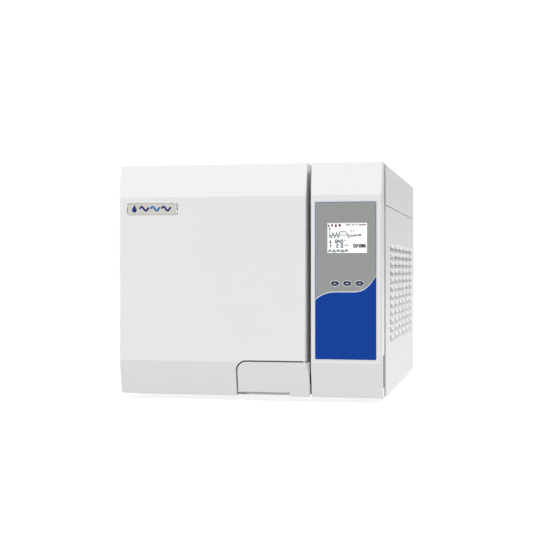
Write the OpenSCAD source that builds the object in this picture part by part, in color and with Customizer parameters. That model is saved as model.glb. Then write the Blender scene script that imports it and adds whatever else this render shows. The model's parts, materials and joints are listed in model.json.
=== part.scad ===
// Benchtop steam steriliser with a side-hinged door, a round pressure chamber and a control column.
// Millimetres. +X is to the right of a person facing the door, the front looks along -Y, +Z is up.
// The origin is at the middle of the whole object's footprint, at the underside of the feet.

/* [Cabinet] */
// Width over the outer faces of the two side panels
cab_w = 481; // [470:1:490]
// Depth from the front plane of the door to the rear edge of the side panels
cab_d = 675; // [670:1:690]
// Height of the cabinet above its feet
cab_h = 415; // [412:1:420]
// Height of a rubber foot
foot_h = 10; // [8:1:14]
// Thickness of the painted sheet steel
sheet = 1.5; // [1.2:0.1:2]
// Height of the top cover's side skirts
skirt_h = 74; // [72:1:76]
// Set-back of the sheet steel case behind the front plane
case_set = 52; // [51:1:54]

/* [Front] */
// Gap between the door and the fascia
front_gap = 8; // [6:0.5:8]
// Width of the control fascia
fascia_w = 125.5; // [120:0.5:126]
// Depth of the door and of the fascia
front_t = 44; // [43:0.5:45]
// Width of the door and the fascia with the gap between them
front_w = 478; // [476:1:480]
// Wall thickness of the moulded front parts
wall = 3; // [2.5:0.1:3.5]
// Height of the upper band that leans back
top_band = 59; // [50:1:70]
// How far the upper band leans back at its top edge
top_lean = 11; // [6:1:14]
// Height of the lower band that leans back
low_band = 61; // [58:1:64]
// How far the lower band leans back at its bottom edge
low_lean = 14; // [8:1:15]
// Corner radius of the moulded front parts in plan
front_r = 3.5; // [2:0.5:5]

/* [Handle] */
// Left end of the handle, from the left edge of the door
handle_start = 219; // [210:1:225]
// Overhang of the handle's round end past the door
handle_over = 5; // [4:0.5:5.5]
// Gap round the handle
handle_gap = 2.5; // [2.4:0.1:3]
// Corner radius of the handle in front view
handle_r = 17; // [10:1:20]
// Radius of the handle's round end in plan
handle_end = 10; // [9:0.5:10]
// Depth of the handle
handle_t = 20; // [18:1:21]
// Wall of the handle
handle_wall = 3.5; // [3:0.5:4]
// How far the finger notch is cut into the lower edge
notch_h = 6; // [4:1:8]

/* [Chamber] */
// Inner radius of the chamber
bore_r = 123.5; // [120:0.5:124]
// Wall thickness of the chamber
shell_t = 3; // [2.5:0.5:3]
// Height of the chamber's axis above the underside of the feet
bore_z = 200; // [198:1:202]
// Length of the chamber's straight part behind its flange
bore_len = 430; // [420:1:440]
// Outer radius of the mouth flange
flange_r = 146; // [144:1:146]
// Outer radius of the insulation
lag_r = 145; // [142:1:145]
// Radius of the dished end
dish_r = 200; // [190:5:210]

/* [Controls] */
// Width of the control overlay
overlay_w = 110; // [106:0.5:111]
// Height of the control overlay
overlay_h = 278.6; // [270:0.1:280]
// Width of the display's visible area
lcd_w = 70.2; // [68:0.1:72]
// Height of the display's visible area
lcd_h = 52.7; // [50:0.1:54]
// Length of a key
key_w = 13.7; // [12:0.1:15]
// Height of a key
key_h = 8.1; // [7:0.1:9]
// Distance between keys
key_pitch = 21.7; // [20:0.1:23]

/* [Louvres] */
// Rows of louvres on each side
louvre_rows = 12; // [8:1:12]
// Columns of louvres on each side
louvre_cols = 6; // [4:1:6]
// Row pitch
louvre_dz = 15.1; // [14:0.1:16]
// Column pitch
louvre_dy = 82; // [80:1:84]
// Length of one louvre
louvre_len = 62; // [50:1:66]
// How far a louvre hood stands out
louvre_out = 3; // [1.5:0.5:3]

/* [Fits] */
// Radial play of a pin that turns in its bore
play = 0.05; // [0.02:0.01:0.08]

/* [Hidden] */
$fn = 64;
badge_t = 1.5;
y_front = (badge_t - cab_d) / 2;
y_rear = (badge_t + cab_d) / 2;
y_back = y_front + front_t;
y_case = y_front + case_set;
z_low = foot_h;
z_high = foot_h + cab_h;
x_panel = cab_w / 2;
x_in = x_panel - sheet;
x_fit = x_in - 0.1;
door_x0 = -front_w / 2;
fascia_x1 = front_w / 2;
fascia_x0 = fascia_x1 - fascia_w;
door_x1 = fascia_x0 - front_gap;
crease_hi = z_high - top_band;
crease_lo = z_low + low_band;
seam_z = z_high - skirt_h;
seam_gap = 1.2;
bend_r = 4;
foot_x = 195;
foot_front = 135;
foot_rear = 60;
eps = 1;
// door hinge axis and the two hinge levels
hinge_x = door_x0 + 12;
hinge_y = y_front + 32.5;
hinge_levels = [95, 330];
pin_r = 4;
lug_r = 5.8;
lug_t = 8;
knuckle_r = 8;
knuckle_h = 12;
slot_h = 11;
// chamber and door pressure plate
bore_x = -66;
mouth_y = y_front + 46.5;
flange_t = 12;
plate_y = y_front + 28.5;
plate_t = 10;
plate_r = 143;
gasket_in = 125;
gasket_out = 140;
arm_t = 6;
bolt_r = 8;
bolt_bore_r = 8.05;
port_z = 70;
pipe_r = 3;
// handle
handle_x0 = door_x0 + handle_start;
handle_x1 = door_x1 + handle_over;
handle_z1 = crease_lo;
grip_x = handle_x1 - handle_end;
grip_y = y_front + handle_end;
grip_pin_r = 2.5;
grip_pin_z0 = 46;
grip_pin_z1 = crease_lo + 18;
pocket_y = y_front + 32;
tongue_z0 = 32;
tongue_z1 = 46;
tongue_t = 4;
tongue_y = y_case + 8;
keeper_left = 38;
keeper_right = 6;
// control column
overlay_x0 = fascia_x0 + 6.9;
overlay_z0 = z_low + 66.6;
overlay_sink = 0.4;
overlay_t = 0.6;
lcd_cx = overlay_x0 + 57.7;
lcd_cz = z_low + 281;
key_z = z_low + 201;
key_x0 = overlay_x0 + 36.1;
key_stand = 0.8;
key_travel = 0.6;
board_y = y_front + 16;
board_t = 1.6;
switch_h = 4;
overlay_r = 3;
key_slack = 0.4;
// louvre field
louvre_h = 8.5;
louvre_z0 = z_low + 98;
louvre_y0 = y_front + 164;
// filler lid of the water tank
fill_x0 = -175;
fill_x1 = -35;
fill_y0 = y_rear - 190;
fill_y1 = fill_y0 + 95;
lid_y = fill_y1 - 8;
lid_z = z_high - 5.2;
lid_t = 3;
lid_pin_r = 1.6;
neck_x0 = fill_x0 + 15;
neck_x1 = fill_x1 - 15;
neck_y0 = fill_y0 + 10;
neck_y1 = fill_y1 - 26;
// water tank and its shelf
shelf_z = 346.2;
tank_x0 = -200;
tank_x1 = 60;
tank_y0 = -40;
tank_y1 = 262;
tank_z1 = z_high - 17.3;
tank_wall = 2.5;
// rear panel and what it carries
rear_y = y_rear - 16;
fan_x = 150;
fan_z = 235;
fan_size = 120;
fan_depth = 25;
fan_bore = 57;
fan_y = rear_y - sheet - fan_depth;
inlet_x = -190;
switch_x = -140;
socket_z = 62;
valve_x = -180;
valve_z = 300;
drain_x = -10;
drain_z = 62;
spigot_r = 5;
filter_x = -190;
filter_z = 46;
filter_r = 23.5;
fuse_x = [-95, -65];
fuse_r = 6.5;
rocker_pin_r = 1.5;
coupling_x = [-70, -30];
coupling_z = 30;
coupling_r = 5.9;
shaft_r = 2.5;
pump_seat_z = 24;
// loading rack and trays
rack_y = mouth_y + 24;
rack_len = 380;
rack_half = 93;
tray_w = 180;
tray_h = 20;
tray_t = 1.2;
tray_levels = [-55, -5, 45];

// a flat rectangle with round corners, between two opposite corners
module round_rect(a, b, r) {
    translate([a.x + r, a.y]) square([b.x - a.x - 2 * r, b.y - a.y]);
    translate([a.x, a.y + r]) square([b.x - a.x, b.y - a.y - 2 * r]);
    for (x = [a.x + r, b.x - r], y = [a.y + r, b.y - r]) translate([x, y]) circle(r);
}

// a box between two opposite corners
module box(a, b) {
    translate(a) cube(b - a);
}

// children drawn along +Z are turned to run along +Y from the point p
module along_y(p) {
    translate(p) rotate([-90, 0, 0]) children();
}

// a flat drawing in X and Z becomes a plate between two Y positions
module plate_xz(y0, y1) {
    translate([0, y1, 0]) rotate([90, 0, 0]) linear_extrude(y1 - y0) children();
}

// a flat drawing in Y and Z becomes a bar between two X positions
module bar_yz(x0, x1) {
    translate([x0, 0, 0]) rotate([90, 0, 90]) linear_extrude(x1 - x0) children();
}

// side view of the door and the fascia: upright middle, upper and lower bands leaning back
module front_side_view(inset, back) {
    polygon([
        [y_front + low_lean + inset, z_low + inset],
        [y_front + inset, crease_lo],
        [y_front + inset, crease_hi],
        [y_front + top_lean + inset, z_high - inset],
        [back, z_high - inset],
        [back, z_low + inset]
    ]);
}

// the solid block that a front moulding is cut from
module front_block(x0, x1, inset, back) {
    intersection() {
        bar_yz(x0 + inset, x1 - inset) front_side_view(inset, back);
        translate([0, 0, z_low]) linear_extrude(cab_h)
            round_rect([x0 + inset, y_front + inset], [x1 - inset, back + front_r], front_r);
    }
}

// ---------- case ----------

module base_pan() {
    side_h = 28;
    vent_pitch = 50;
    vent_w = 6;
    color("gainsboro") {
        difference() {
            box([-x_fit, y_case + 4, z_low], [x_fit, rear_y, z_low + sheet]);
            // air slots under the machinery
            for (y = [-200 : vent_pitch : 250])
                box([110, y, z_low - eps], [200, y + vent_w, z_low + sheet + eps]);
        }
        for (x = [-x_fit, x_fit - sheet])
            box([x, y_case + 30, z_low + sheet - 0.1], [x + sheet, rear_y - 12, z_low + side_h]);
    }
}

module rubber_feet() {
    tread_r = 14;
    seat_r = 17;
    color("dimgray")
    for (x = [-foot_x, foot_x], y = [y_front + foot_front, y_rear - foot_rear])
        translate([x, y, 0]) cylinder(r1 = tread_r, r2 = seat_r, h = foot_h);
}

// a plate that fills the case from side to side, with its corners cut to clear the bends
module case_plate(y0, y1) {
    slack = 0.1;
    corner_r = 4;
    plate_xz(y0, y1)
        round_rect([-x_fit, z_low + sheet + slack], [x_fit, z_high - sheet - slack], corner_r);
}

module front_frame() {
    flange_reach = 20;
    y0 = y_case + sheet;
    y1 = y0 + sheet;
    color("gainsboro")
    difference() {
        union() {
            case_plate(y0, y1);
            for (x = [-x_fit, x_fit - sheet])
                box([x, y1 - 0.1, z_low + 40], [x + sheet, y1 + flange_reach, seam_z - 20]);
        }
        // chamber mouth, hinge lugs, latch tongue, wiring to the fascia, air filter, drain couplings
        along_y([bore_x, y0 - eps, bore_z]) cylinder(r = flange_r, h = sheet + 2 * eps);
        for (z = hinge_levels)
            box([hinge_x - lug_r - 0.5, y0 - eps, z - lug_t / 2 - 1],
                [hinge_x + lug_r + 1, y1 + eps, z + lug_t / 2 + 1]);
        box([grip_x - keeper_left - 2, y0 - eps, tongue_z0 - 3],
            [grip_x + keeper_right + 1, y1 + eps, tongue_z1 + 3]);
        box([fascia_x0 + 20, y0 - eps, 60], [fascia_x1 - 20, y1 + eps, 380]);
        along_y([filter_x, y0 - eps, filter_z]) cylinder(r = filter_r + 0.1, h = sheet + 2 * eps);
        for (x = coupling_x)
            along_y([x, y0 - eps, coupling_z]) cylinder(r = coupling_r + 0.1, h = sheet + 2 * eps);
    }
}

// end view of one louvre hood, pressed out of the panel's face
module hood_outside() {
    lip_h = 2.5;
    polygon([[-sheet / 2, 0], [louvre_out, 0], [louvre_out, lip_h], [0, louvre_h], [-sheet / 2, louvre_h]]);
}

// the air way under the hood, through the panel and out at the hood's lower edge
module hood_inside() {
    skin = 0.8;
    lip = louvre_out - skin;
    polygon([[-sheet - eps, -0.6], [lip, -0.6], [lip, 2.1], [-sheet - eps, louvre_h - 1.9]]);
}

// children, drawn as an end view, become one bar of the given length at every louvre of the field
module louvre_field(length) {
    for (row = [0 : louvre_rows - 1], col = [0 : louvre_cols - 1])
        translate([x_panel, louvre_y0 + col * louvre_dy + length / 2, louvre_z0 + row * louvre_dz])
            rotate([90, 0, 0]) linear_extrude(length) children();
}

module right_panel_shape() {
    front_lip = 7;
    top_lip = 13;
    z1 = seam_z - seam_gap;
    difference() {
        union() {
            box([x_in, y_case, z_low], [x_panel, y_rear, z1]);
            box([x_panel - front_lip, y_case, z_low], [x_panel, y_case + sheet, z1]);
            box([x_panel - top_lip, y_case + 20, z1 - sheet], [x_panel, y_rear - 20, z1]);
            louvre_field(louvre_len) hood_outside();
        }
        louvre_field(louvre_len - 3) hood_inside();
    }
}

module right_side_panel() {
    color("lightgray") right_panel_shape();
}

module left_side_panel() {
    color("lightgray") mirror([1, 0, 0]) right_panel_shape();
}

// end view of the top cover, open at the bottom
module cover_end_view(inset) {
    r = bend_r - inset;
    low = inset > 0 ? seam_z - eps : seam_z;
    translate([-x_panel + inset, low]) square([cab_w - 2 * inset, z_high - inset - r - low]);
    translate([-x_panel + inset + r, low]) square([cab_w - 2 * inset - 2 * r, z_high - inset - low]);
    for (side = [-1, 1]) translate([side * (x_panel - inset - r), z_high - inset - r]) circle(r);
}

module top_cover() {
    front_lip = 14;
    opening_r = 6;
    color("whitesmoke")
    difference() {
        union() {
            plate_xz(y_case, y_rear) difference() {
                cover_end_view(0);
                cover_end_view(sheet);
            }
            box([-x_in + 10, y_case, z_high - front_lip], [x_in - 10, y_case + sheet, z_high - sheet + 0.1]);
        }
        translate([0, 0, z_high - 5]) linear_extrude(10)
            round_rect([fill_x0, fill_y0], [fill_x1, fill_y1], opening_r);
    }
}

module rear_panel() {
    y0 = rear_y - 5;
    y1 = rear_y + 5;
    slot_rows = 8;
    slot_pitch = 12;
    slot_w = 4;
    slot_len = 45;
    color("gainsboro")
    difference() {
        case_plate(rear_y - sheet, rear_y);
        along_y([fan_x, y0, fan_z]) cylinder(r = fan_bore, h = y1 - y0);
        box([inlet_x - 14, y0, socket_z - 10], [inlet_x + 14, y1, socket_z + 10]);
        box([switch_x - 11, y0, socket_z - 15], [switch_x + 11, y1, socket_z + 15]);
        for (x = fuse_x) along_y([x, y0, socket_z]) cylinder(r = fuse_r, h = y1 - y0);
        along_y([valve_x, y0, valve_z]) cylinder(r = 11, h = y1 - y0);
        along_y([drain_x, y0, drain_z]) cylinder(r = 7, h = y1 - y0);
        // air slots in two columns
        for (row = [0 : slot_rows - 1], x = [-120, -60])
            box([x, y0, 200 + row * slot_pitch], [x + slot_len, y1, 200 + row * slot_pitch + slot_w]);
    }
}

module casing_screws() {
    head_r = 4;
    head_h = 1.4;
    color("silver")
    for (x = [-225, -75, 75, 225], z = [30, 405])
        along_y([x, rear_y, z]) {
            cylinder(r = head_r, h = head_h);
            cylinder(r1 = 3.4, r2 = 2, h = head_h + 1);
        }
}

// ---------- control column ----------

module control_fascia() {
    neck = 6;
    window_w = 76;
    window_h = 58;
    relief_x = fascia_x1 - wall;
    relief_y = y_back - 22;
    relief_z0 = z_low + 16;
    relief_z1 = z_low + 73.5;
    relief_floor = 2;
    color("whitesmoke")
    difference() {
        union() {
            front_block(fascia_x0, fascia_x1, 0, y_back);
            intersection() {
                front_block(fascia_x0, fascia_x1, neck, y_case);
                box([fascia_x0, y_back - 8, z_low], [fascia_x1, y_case, z_high]);
            }
        }
        intersection() {
            front_block(fascia_x0, fascia_x1, wall, y_back);
            difference() {
                box([fascia_x0, y_front, z_low], [fascia_x1, y_back - wall, z_high]);
                box([relief_x - relief_floor, relief_y - relief_floor, relief_z0 - relief_floor],
                    [fascia_x1, y_back, relief_z1 + relief_floor]);
            }
        }
        intersection() {
            front_block(fascia_x0, fascia_x1, neck + wall, y_case + eps);
            box([fascia_x0, y_back - 20, z_low], [fascia_x1, y_case + eps, z_high]);
        }
        // shallow bed for the overlay
        plate_xz(y_front - eps, y_front + overlay_sink)
            round_rect([overlay_x0, overlay_z0],
                [overlay_x0 + overlay_w, overlay_z0 + overlay_h], overlay_r);
        // display window and key holes
        box([lcd_cx - window_w / 2, y_front - eps, lcd_cz - window_h / 2],
            [lcd_cx + window_w / 2, y_front + wall + eps, lcd_cz + window_h / 2]);
        for (i = [0 : 2]) key_outline(i, key_slack, y_front - eps, y_front + wall + eps);
        // finger relief at the rear edge of the right-hand side, closed by its own floor
        box([relief_x, relief_y, relief_z0], [fascia_x1 + eps, y_back + eps, relief_z1]);
    }
}

// an oval plate round key number i, grown all round
module key_outline(i, grow, y0, y1) {
    rx = key_w / 2 + grow;
    ry = key_h / 2 + grow;
    translate([key_x0 + i * key_pitch, 0, key_z])
        plate_xz(y0, y1) polygon([for (a = [0 : 11.25 : 359]) [rx * cos(a), ry * sin(a)]]);
}

module control_overlay() {
    margin = 0.2;
    y0 = y_front + overlay_sink - overlay_t;
    y1 = y_front + overlay_sink;
    color("royalblue")
    difference() {
        plate_xz(y0, y1) round_rect([overlay_x0 + margin, overlay_z0 + margin],
            [overlay_x0 + overlay_w - margin, overlay_z0 + overlay_h - margin], overlay_r);
        box([lcd_cx - lcd_w / 2, y0 - eps, lcd_cz - lcd_h / 2],
            [lcd_cx + lcd_w / 2, y1 + eps, lcd_cz + lcd_h / 2]);
        for (i = [0 : 2]) key_outline(i, key_slack, y0 - eps, y1 + eps);
    }
}

module lcd_module() {
    glass_w = 75;
    glass_h = 57;
    body_w = 90;
    body_h = 68;
    y1 = y_front + wall + 0.2;
    color("aliceblue") {
        box([lcd_cx - glass_w / 2, y_front + 0.6, lcd_cz - glass_h / 2],
            [lcd_cx + glass_w / 2, y1, lcd_cz + glass_h / 2]);
        box([lcd_cx - body_w / 2, y1, lcd_cz - body_h / 2],
            [lcd_cx + body_w / 2, board_y - 2, lcd_cz + body_h / 2]);
    }
}

module control_board() {
    key_switch = 6;
    y1 = board_y + board_t;
    pillar_r = 3.5;
    color("seagreen") {
        box([fascia_x0 + 10, board_y, z_low + 90], [fascia_x1 - 10, y1, z_low + 330]);
        for (i = [0 : 2]) translate([key_x0 + i * key_pitch, 0, key_z])
            box([-key_switch / 2, board_y - switch_h, -key_switch / 2],
                [key_switch / 2, board_y, key_switch / 2]);
        // relay, processor and connector strip
        box([fascia_x0 + 20, y1, z_low + 110], [fascia_x0 + 50, board_y + 9, z_low + 130]);
        box([fascia_x0 + 60, y1, z_low + 180], [fascia_x0 + 74, board_y + 4, z_low + 194]);
        box([fascia_x0 + 30, y1, z_low + 240], [fascia_x0 + 90, board_y + 8, z_low + 252]);
        // four pillars that carry the board on the fascia
        for (x = [fascia_x0 + 15, fascia_x1 - 15], z = [z_low + 96, z_low + 324])
            along_y([x, y_front + wall, z]) cylinder(r = pillar_r, h = board_y - y_front - wall);
    }
}

// a key cap with its flange behind the fascia and a stem that meets the switch under it
module key_cap(i) {
    rim = 1.6;
    stem_r = 1.8;
    y_wall = y_front + wall;
    color("midnightblue") {
        key_outline(i, 0, y_front - key_stand, y_wall + 0.8);
        key_outline(i, rim, y_wall + 0.2, y_wall + 1.6);
        along_y([key_x0 + i * key_pitch, y_wall + 1, key_z])
            cylinder(r = stem_r, h = board_y - switch_h - key_travel - 0.1 - (y_wall + 1));
    }
}

module key_left() { key_cap(0); }
module key_middle() { key_cap(1); }
module key_right() { key_cap(2); }

// ---------- chamber ----------

// the dished end's solid ball, trimmed to the chamber's width
module dish(r, limit, extra) {
    centre_y = mouth_y + flange_t + bore_len - sqrt(pow(dish_r, 2) - pow(bore_r + shell_t, 2));
    intersection() {
        translate([bore_x, centre_y, bore_z]) sphere(r, $fn = 96);
        along_y([bore_x, mouth_y + flange_t + bore_len - extra, bore_z]) cylinder(r = limit, h = 90);
    }
}

module chamber_vessel() {
    y0 = mouth_y + flange_t;
    port_r = 7;
    port_len = 54;
    color("silver") {
        difference() {
            union() {
                along_y([bore_x, y0, bore_z]) cylinder(r = bore_r + shell_t, h = bore_len);
                dish(dish_r, bore_r + shell_t, 0.5);
            }
            along_y([bore_x, y0 - eps, bore_z]) cylinder(r = bore_r, h = bore_len + eps);
            dish(dish_r - shell_t, bore_r, 1);
        }
        // steam and drain connections on the dished end
        for (side = [-1, 1])
            along_y([bore_x, y0 + bore_len + 24, bore_z + side * port_z]) cylinder(r = port_r, h = port_len);
    }
}

module chamber_flange() {
    color("darkgray")
    along_y([bore_x, mouth_y, bore_z]) difference() {
        cylinder(r = flange_r - 0.05, h = flange_t, $fn = 96);
        translate([0, 0, -eps]) cylinder(r = bore_r, h = flange_t + 2 * eps, $fn = 96);
    }
}

module chamber_insulation() {
    y0 = mouth_y + flange_t + 2;
    y1 = mouth_y + flange_t + bore_len + 60;
    gap_r = bore_r + shell_t + 4.5;
    port_r = 9;
    color("khaki")
    difference() {
        along_y([bore_x, y0, bore_z]) cylinder(r = lag_r, h = y1 - y0);
        along_y([bore_x, y0 - eps, bore_z]) cylinder(r = gap_r, h = bore_len - 1);
        dish(dish_r + 4, gap_r, 4);
        for (side = [-1, 1])
            along_y([bore_x, y1 - 60, bore_z + side * port_z]) cylinder(r = port_r, h = 70);
    }
}

module heater_band() {
    band_y = -140;
    band_w = 240;
    band_t = 3;
    fit = 0.1;
    color("goldenrod")
    along_y([bore_x, band_y, bore_z]) difference() {
        cylinder(r = bore_r + shell_t + band_t, h = band_w);
        translate([0, 0, -eps]) cylinder(r = bore_r + shell_t + fit, h = band_w + 2 * eps);
    }
}

module vessel_cradles() {
    half_w = 95;
    plate = 3;
    foot = 22;
    z0 = z_low + sheet;
    color("gainsboro")
    for (y = [-215, 105]) {
        difference() {
            box([bore_x - half_w, y, z0], [bore_x + half_w, y + plate, 110]);
            along_y([bore_x, y - eps, bore_z]) cylinder(r = lag_r, h = plate + 2 * eps);
        }
        box([bore_x - half_w, y + plate, z0], [bore_x + half_w, y + foot, z0 + plate]);
    }
}

module tray_rack() {
    wall_t = 1.5;
    wall_z0 = -78;
    wall_z1 = 70;
    hole_start = 18;
    hole_pitch = 60;
    hole_w = 44;
    hole_h = 34;
    strap = 12;
    reach = rack_half + 0.1;
    color("silver")
    translate([bore_x, rack_y, bore_z]) {
        for (side = [-1, 1]) {
            difference() {
                translate([side * (rack_half + wall_t / 2), 0, 0])
                    box([-wall_t / 2, 0, wall_z0], [wall_t / 2, rack_len, wall_z1]);
                for (level = tray_levels, i = [0 : 5])
                    translate([side * rack_half, hole_start + i * hole_pitch, level + 4])
                        box([-5, 0, 0], [5, hole_w, hole_h]);
            }
            // rails that carry the trays
            for (level = tray_levels)
                translate([side * (rack_half - 3), 0, level - 1.6]) box([-3.1, 0, 0], [3.1, rack_len, 1.5]);
        }
        for (y = [0, rack_len - strap]) box([-reach, y, wall_z0], [reach, y + strap, wall_z0 + wall_t]);
        box([-reach, rack_len - wall_t, 20], [reach, rack_len, 20 + strap]);
    }
}

// an instrument tray with a slotted floor
module tray(level) {
    len = rack_len - 10;
    slot_w = 20;
    slot_len = 24;
    slot_dx = 32;
    slot_dy = 39;
    color("lightsteelblue")
    translate([bore_x, rack_y + 4, bore_z + level]) difference() {
        box([-tray_w / 2, 0, 0], [tray_w / 2, len, tray_h]);
        box([-tray_w / 2 + tray_t, tray_t, tray_t], [tray_w / 2 - tray_t, len - tray_t, tray_h + eps]);
        for (col = [-2 : 2], row = [0 : 8])
            translate([col * slot_dx, 18 + row * slot_dy, 0])
                box([-slot_w / 2, 0, -eps], [slot_w / 2, slot_len, tray_t + eps]);
    }
}

module tray_low() { tray(tray_levels[0]); }
module tray_middle() { tray(tray_levels[1]); }
module tray_high() { tray(tray_levels[2]); }

// ---------- door ----------

// a hinge lug on the case: a flat bar with a round nose on the hinge axis
module hinge_lug(z) {
    translate([hinge_x, hinge_y, z - lug_t / 2]) difference() {
        union() {
            cylinder(r = lug_r, h = lug_t);
            box([-lug_r, 0, 0], [lug_r, y_case + 3 * sheet - hinge_y, lug_t]);
        }
        translate([0, 0, -eps]) cylinder(r = pin_r, h = lug_t + 2 * eps);
    }
}

module hinge_bracket() {
    plate = 5;
    y0 = y_case + 2 * sheet;
    color("dimgray") {
        for (z = hinge_levels) hinge_lug(z);
        box([hinge_x - lug_r - 1, y0, 70], [hinge_x + 14, y0 + plate, 355]);
    }
}

module hinge_pins() {
    reach = lug_t / 2 + knuckle_h + 2;
    color("silver")
    for (z = hinge_levels) translate([hinge_x, hinge_y, z - reach]) cylinder(r = pin_r, h = 2 * reach);
}

// room that the hinge lugs need in the door as it turns round them
module lug_slots() {
    for (z = hinge_levels)
        box([door_x0 - eps, hinge_y - 13, z - slot_h / 2], [hinge_x + 9, y_back + eps, z + slot_h / 2]);
}

// front view of the handle, grown on its left and its top for the pocket round it
module handle_view(grow, x1, z0) {
    r = handle_r + grow;
    left = handle_x0 - grow;
    top = handle_z1 + grow;
    translate([left + r, z0]) square([x1 - left - r, top - z0]);
    translate([left, z0]) square([x1 - left, top - r - z0]);
    translate([left + r, top - r]) circle(r);
}

// the pocket behind the handle: deep at the fingers, shallower above them
module handle_pocket(grow) {
    step = 7;
    step_z = z_low + 38 + grow;
    top_z = crease_lo + 20;
    intersection() {
        plate_xz(y_front - eps, pocket_y + grow) handle_view(handle_gap + grow, door_x1 + eps, z_low - eps);
        bar_yz(door_x0, door_x1 + 2 * eps) polygon([
            [y_front - 2, z_low - 2],
            [pocket_y + grow, z_low - 2],
            [pocket_y + grow, step_z],
            [pocket_y + grow - step, step_z + 9],
            [pocket_y + grow - step, top_z],
            [y_front - 2, top_z]
        ]);
    }
}

module door_cover() {
    boss_r = 8;
    boss_h = 22;
    color("whitesmoke")
    difference() {
        union() {
            difference() {
                front_block(door_x0, door_x1, 0, y_back);
                difference() {
                    front_block(door_x0, door_x1, wall, y_back + eps);
                    handle_pocket(wall);
                }
            }
            // boss for the handle pin
            intersection() {
                translate([grip_x, grip_y, handle_z1 + handle_gap]) cylinder(r = boss_r, h = boss_h);
                front_block(door_x0, door_x1, 0.5, y_back);
            }
        }
        handle_pocket(0);
        translate([grip_x, grip_y, handle_z1]) cylinder(r = grip_pin_r, h = grip_pin_z1 - handle_z1);
        // way for the latch tongue
        box([grip_x - 32, pocket_y - eps, tongue_z0 - 2],
            [grip_x + 3, pocket_y + wall + eps, tongue_z1 + 2]);
        lug_slots();
    }
}

module door_inner_cover() {
    slack = wall + 0.1;
    y0 = y_back - wall;
    color("gainsboro")
    difference() {
        box([door_x0 + slack, y0, z_low + slack], [door_x1 - slack, y_back, z_high - slack]);
        along_y([bore_x, y0 - eps, bore_z]) cylinder(r = plate_r + 2, h = wall + 2 * eps);
        box([grip_x - keeper_left, y0 - eps, tongue_z0 - 2], [door_x1, y_back + eps, tongue_z1 + 2]);
        lug_slots();
    }
}

module door_plate() {
    raised = 6;
    color("silver")
    along_y([bore_x, plate_y, bore_z]) difference() {
        union() {
            cylinder(r = plate_r, h = plate_t);
            translate([0, 0, plate_t]) cylinder(r1 = gasket_in - 0.2, r2 = gasket_in - 8, h = raised);
        }
        translate([0, 0, -eps]) cylinder(r = bolt_bore_r, h = plate_t + raised + 2 * eps);
    }
}

module door_gasket() {
    gasket_t = mouth_y - 0.3 - plate_y - plate_t;
    color("white")
    along_y([bore_x, plate_y + plate_t, bore_z]) difference() {
        cylinder(r = gasket_out, h = gasket_t);
        translate([0, 0, -eps]) cylinder(r = gasket_in, h = gasket_t + 2 * eps);
    }
}

module door_arm() {
    y0 = plate_y - arm_t;
    y1 = y0 + arm_t - 1;
    arm_half = 32;
    rib_t = 6;
    rib_depth = 10;
    arm_end = bore_x + 40;
    boss_r = 28;
    color("dimgray")
    difference() {
        union() {
            for (z = hinge_levels, end = [-1, 1])
                translate([hinge_x, hinge_y, z + end * (slot_h / 2 + knuckle_h / 2) - knuckle_h / 2])
                    cylinder(r = knuckle_r, h = knuckle_h);
            box([hinge_x - knuckle_r, y0 - 1, 72], [hinge_x + 20, y1, 353]);
            box([hinge_x + 19, y0 - 1, bore_z - arm_half], [arm_end, y1, bore_z + arm_half]);
            for (z = [bore_z - arm_half + rib_t, bore_z + arm_half - 2 * rib_t])
                box([hinge_x + 19, y0 - 1 - rib_depth, z], [arm_end, y0 - 0.9, z + rib_t]);
            along_y([bore_x, y0 - 1.5, bore_z]) cylinder(r = boss_r, h = arm_t + 1.5);
        }
        for (z = hinge_levels) translate([hinge_x, hinge_y, z - 30]) cylinder(r = pin_r + play, h = 60);
        along_y([bore_x, y0 - 12, bore_z]) cylinder(r = bolt_bore_r, h = 30);
        lug_slots();
    }
}

module door_plate_nut() {
    head_h = 8.5;
    shank = arm_t + plate_t + head_h;
    color("silver")
    along_y([bore_x, plate_y - arm_t - head_h, bore_z]) {
        cylinder(r = 13, h = 7, $fn = 6);
        cylinder(r = bolt_r, h = shank);
        translate([0, 0, shank - 0.5]) cylinder(r = bolt_r, h = 7);
        translate([0, 0, shank + 6]) cylinder(r1 = 12, r2 = 9, h = 4);
    }
}

module door_screws() {
    head_r = 3.8;
    head_h = 1.6;
    edge = 16;
    color("silver")
    for (x = [door_x0 + edge, door_x1 - edge], z = [66, 140, 260, z_high - 24])
        along_y([x, y_back, z]) cylinder(r1 = head_r, r2 = 2.4, h = head_h);
}

module door_badge() {
    badge_w = 94.7;
    badge_h = 20.9;
    corner_r = 4;
    x0 = door_x0 + 14.9;
    z0 = z_low + 325;
    color("silver")
    plate_xz(y_front - badge_t, y_front) round_rect([x0, z0], [x0 + badge_w, z0 + badge_h], corner_r);
}

// ---------- handle and latch ----------

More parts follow.
